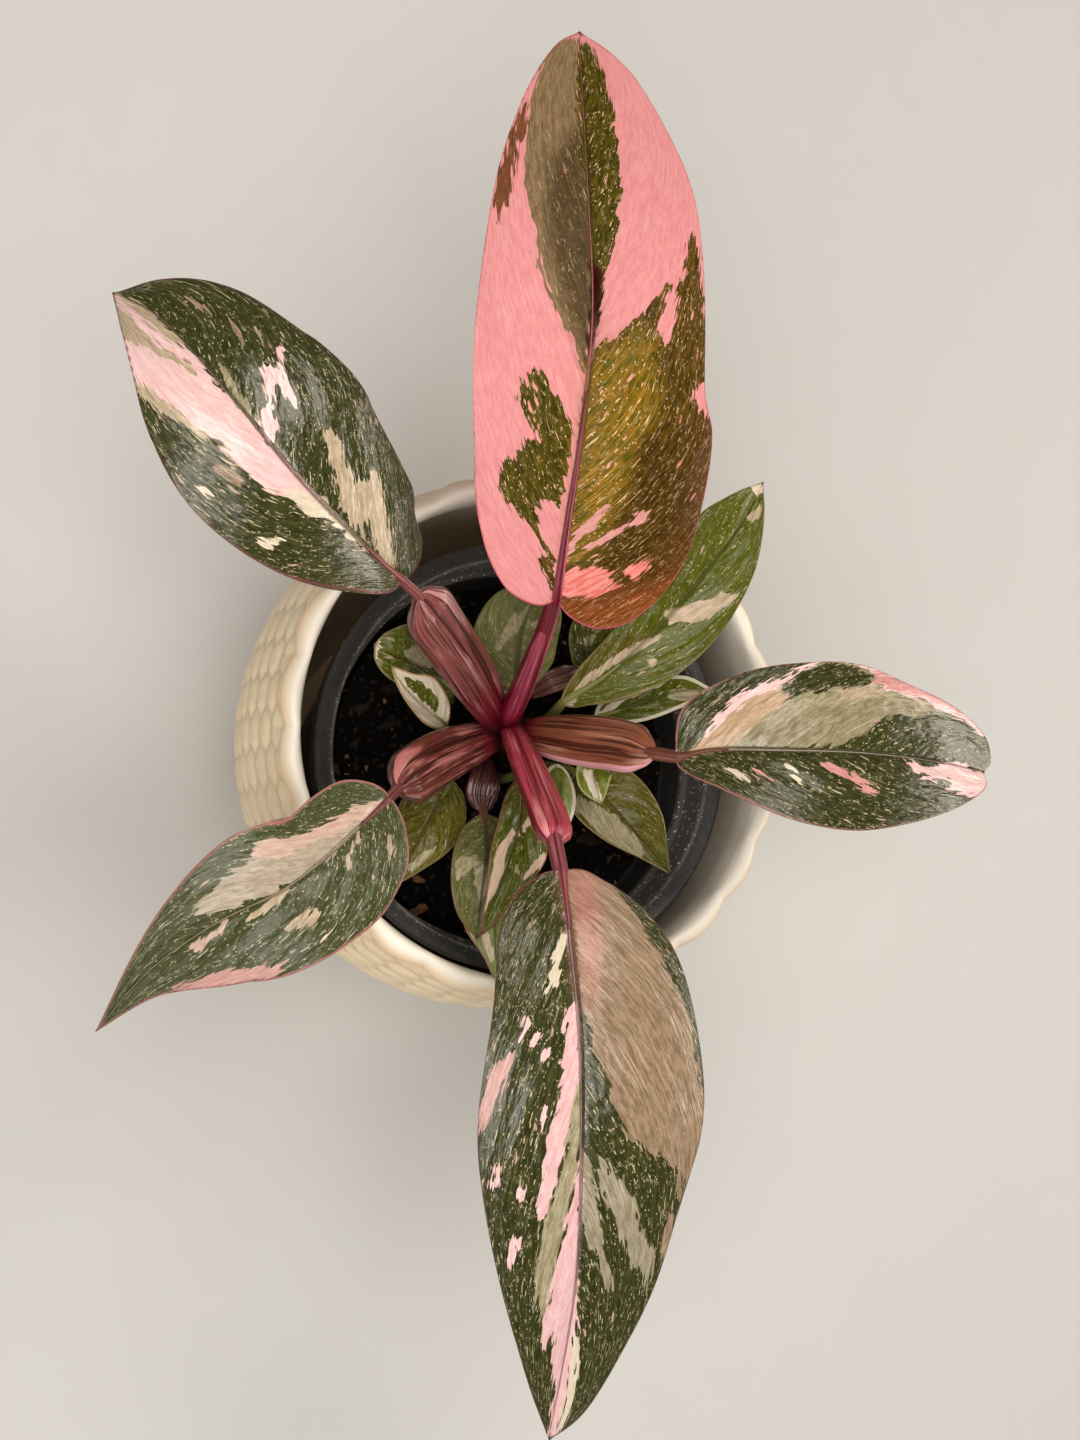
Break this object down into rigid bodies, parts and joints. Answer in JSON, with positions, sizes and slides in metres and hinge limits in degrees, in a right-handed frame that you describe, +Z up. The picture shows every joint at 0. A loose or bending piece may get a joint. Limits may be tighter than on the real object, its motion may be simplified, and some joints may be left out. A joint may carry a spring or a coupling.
{
  "type": "potted philodendron",
  "caption": "Potted climbing aroid with pink and green variegated oval leaves on red sheathed stalks, in a plastic nursery pot standing inside a scalloped glazed pot.",
  "frame": {"origin": "middle of the outer pot's flat base, on the surface that it stands on", "axes": "+Z up along the outer pot's axis, +Y towards the newest leaf's tip, along the longest span of the leaves, +X towards the right leaf"},
  "size_m": [0.2472, 0.3585, 0.1985],
  "materials": {
    "outer_pot": "glossy cream glaze over a lattice of raised scales",
    "nursery_pot": "black moulded plastic with mineral specks on the rim",
    "soil": "moist potting mix with bark bits",
    "stem": "ringed green and brown stem",
    "red_stalk": "glossy crimson sheath with brown and pink stripes",
    "green_stalk": "smooth olive leaf stalk",
    "pink_blade": "glossy leaf, salmon pink with green sectors",
    "variegated_blade": "glossy dark green leaf with pink and taupe sectors",
    "green_blade": "green leaf with cream marks"
  },
  "bodies": {
    "root": {"outer_pot": "outer_pot", "nursery_pot": "nursery_pot", "soil": "soil", "main_stem": "stem", "newest_leaf_stalk": "red_stalk", "left_leaf_stalk": "red_stalk", "right_leaf_stalk": "red_stalk", "lower_left_leaf_stalk": "red_stalk", "front_leaf_stalk": "red_stalk", "green_leaf_stalk": "green_stalk", "white_edged_leaf_stalk": "green_stalk", "round_leaf_stalk": "green_stalk", "white_tipped_leaf_stalk": "green_stalk", "curled_leaf_stalk": "green_stalk", "olive_leaf_stalk": "green_stalk", "grey_green_leaf_stalk": "red_stalk", "cream_striped_leaf_stalk": "green_stalk", "cream_sliver_leaf_stalk": "green_stalk", "broad_leaf_stalk": "green_stalk", "glossy_leaf_stalk": "green_stalk", "cream_edged_leaf_stalk": "green_stalk", "dark_green_leaf_stalk": "red_stalk", "newest_leaf_blade": "pink_blade", "left_leaf_blade": "variegated_blade", "right_leaf_blade": "variegated_blade", "lower_left_leaf_blade": "variegated_blade", "front_leaf_blade": "variegated_blade", "green_leaf_blade": "green_blade", "white_edged_leaf_blade": "green_blade", "round_leaf_blade": "green_blade", "white_tipped_leaf_blade": "green_blade", "curled_leaf_blade": "green_blade", "olive_leaf_blade": "green_blade", "grey_green_leaf_blade": "green_blade", "cream_striped_leaf_blade": "green_blade", "cream_sliver_leaf_blade": "green_blade", "broad_leaf_blade": "green_blade", "glossy_leaf_blade": "green_blade", "cream_edged_leaf_blade": "green_blade", "dark_green_leaf_blade": "green_blade"}
  },
  "joints": []
}
